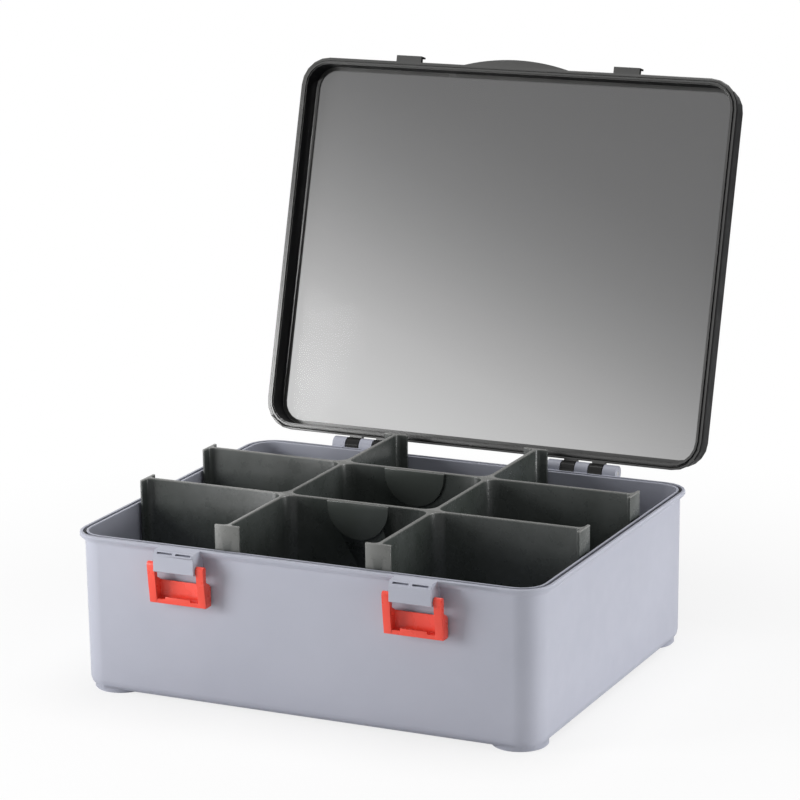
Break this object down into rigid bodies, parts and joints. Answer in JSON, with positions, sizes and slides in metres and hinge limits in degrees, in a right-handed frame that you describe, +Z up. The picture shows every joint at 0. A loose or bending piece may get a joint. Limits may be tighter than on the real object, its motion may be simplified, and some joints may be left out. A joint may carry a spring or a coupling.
{
  "type": "bait box",
  "caption": "Low rectangular bait box with a hinged windowed lid held open, a lift-out grid insert and swing-up latches on the front.",
  "frame": {"origin": "on the standing surface, under the middle of the space that the box and its open lid take up", "axes": "+X to the box's right, along its width; +Y to the back, where the hinges are; +Z up"},
  "size_m": [0.32, 0.3678, 0.3631],
  "materials": {
    "body_grey": "satin moulded",
    "seal_rubber": "matt",
    "lid_black": "semi-gloss moulded",
    "window_smoke": "clear, lightly smoked",
    "insert_smoke": "glossy, near black",
    "latch_red": "semi-gloss moulded",
    "pin_steel": "drawn wire"
  },
  "bodies": {
    "tub": {"box_body": "body_grey", "rim_seal": "seal_rubber", "hinge_pin_left": "pin_steel", "hinge_pin_right": "pin_steel", "divider_insert": "insert_smoke"},
    "lid": {"lid_frame": "lid_black", "lid_window": "window_smoke"},
    "latch_left": {"latch_lever_left": "latch_red"},
    "latch_right": {"latch_lever_right": "latch_red"}
  },
  "joints": [
    {"name": "lid_hinge", "type": "hinge", "parent": "tub", "child": "lid", "pos_m": [0, 0.09141, 0.103], "axis": [-1, 0, 0], "range_deg": [-106, 0]},
    {"name": "latch_left_swing", "type": "hinge", "parent": "tub", "child": "latch_left", "pos_m": [-0.08, -0.17999, 0.0908], "axis": [-1, 0, 0], "range_deg": [0, 196]},
    {"name": "latch_right_swing", "type": "hinge", "parent": "tub", "child": "latch_right", "pos_m": [0.08, -0.17999, 0.0908], "axis": [-1, 0, 0], "range_deg": [0, 196]}
  ]
}
